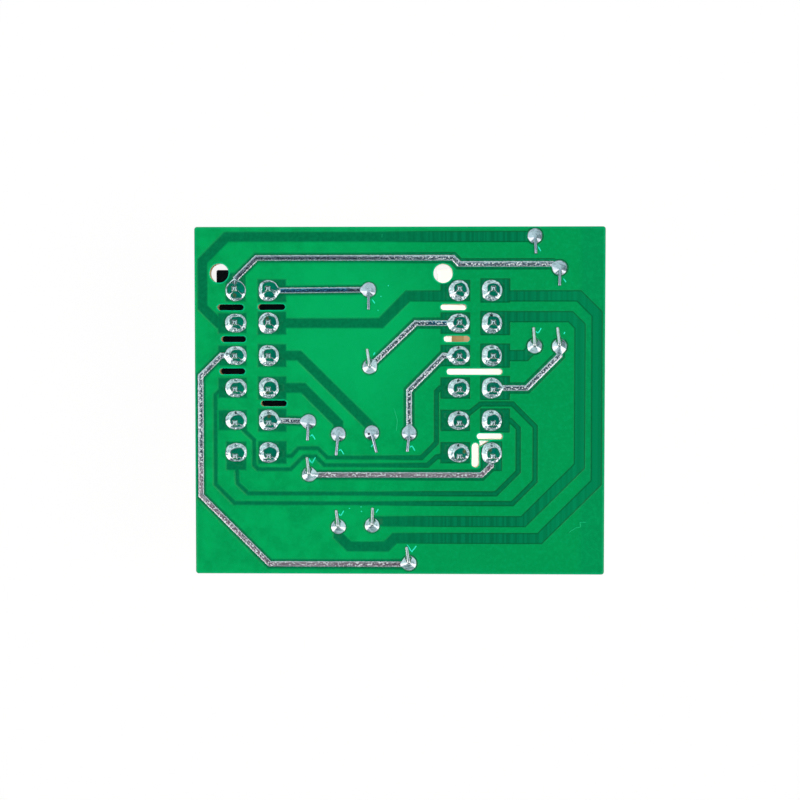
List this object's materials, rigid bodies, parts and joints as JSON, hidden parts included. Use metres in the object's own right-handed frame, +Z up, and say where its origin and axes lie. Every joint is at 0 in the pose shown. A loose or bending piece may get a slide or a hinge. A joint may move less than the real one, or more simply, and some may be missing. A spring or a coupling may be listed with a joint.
{
  "type": "adapter circuit board",
  "caption": "Single-sided green adapter board, solder side up, that crosses one two-row pin header over to another with tinned tracks and wire links.",
  "frame": {"origin": "middle of the board in X and Y, and the plane of the two header mouths in Z", "axes": "+X along the board's long edge, +Y towards the edge with the peg holes, +Z up out of the solder side"},
  "size_m": [0.0524, 0.0444, 0.0161],
  "materials": {
    "laminate": "bare tan phenolic laminate",
    "solder_mask": "satin green lacquer",
    "copper": "etched copper",
    "solder": "bright wave-soldered tin alloy",
    "tinned_brass": "bright tin plate",
    "tinned_wire": "bright tinned copper",
    "black_nylon": "moulded black nylon",
    "natural_nylon": "moulded natural nylon"
  },
  "bodies": {
    "root": {"board": "laminate", "solder_mask": "solder_mask", "left_header_base": "black_nylon", "left_header_sockets": "black_nylon", "right_header_base": "natural_nylon", "right_header_sockets": "natural_nylon", "left_header_solder": "solder", "right_header_solder": "solder", "jumper_solder": "solder", "track_tinning": "solder", "exposed_track_1": "copper", "exposed_track_2": "copper", "exposed_track_3": "copper", "exposed_track_4": "copper", "exposed_track_5": "copper", "exposed_track_6": "copper", "exposed_track_7": "copper", "exposed_track_8": "copper", "wide_track_1": "copper", "wide_track_2": "copper", "wide_track_3": "copper", "wide_track_4": "copper", "wide_track_5": "copper", "wide_track_6": "copper", "wide_track_7": "copper", "thin_track_1": "copper", "thin_track_2": "copper", "thin_track_3": "copper", "thin_track_4": "copper", "left_pin_1": "tinned_brass", "left_pin_2": "tinned_brass", "left_pin_3": "tinned_brass", "left_pin_4": "tinned_brass", "left_pin_5": "tinned_brass", "left_pin_6": "tinned_brass", "left_pin_7": "tinned_brass", "left_pin_8": "tinned_brass", "left_pin_9": "tinned_brass", "left_pin_10": "tinned_brass", "left_pin_11": "tinned_brass", "left_pin_12": "tinned_brass", "right_pin_1": "tinned_brass", "right_pin_2": "tinned_brass", "right_pin_3": "tinned_brass", "right_pin_4": "tinned_brass", "right_pin_5": "tinned_brass", "right_pin_6": "tinned_brass", "right_pin_7": "tinned_brass", "right_pin_8": "tinned_brass", "right_pin_9": "tinned_brass", "right_pin_10": "tinned_brass", "right_pin_11": "tinned_brass", "right_pin_12": "tinned_brass", "jumper_wire_1": "tinned_wire", "jumper_wire_2": "tinned_wire", "jumper_wire_3": "tinned_wire", "jumper_wire_4": "tinned_wire", "jumper_wire_5": "tinned_wire", "jumper_wire_6": "tinned_wire", "jumper_wire_7": "tinned_wire"}
  },
  "joints": []
}
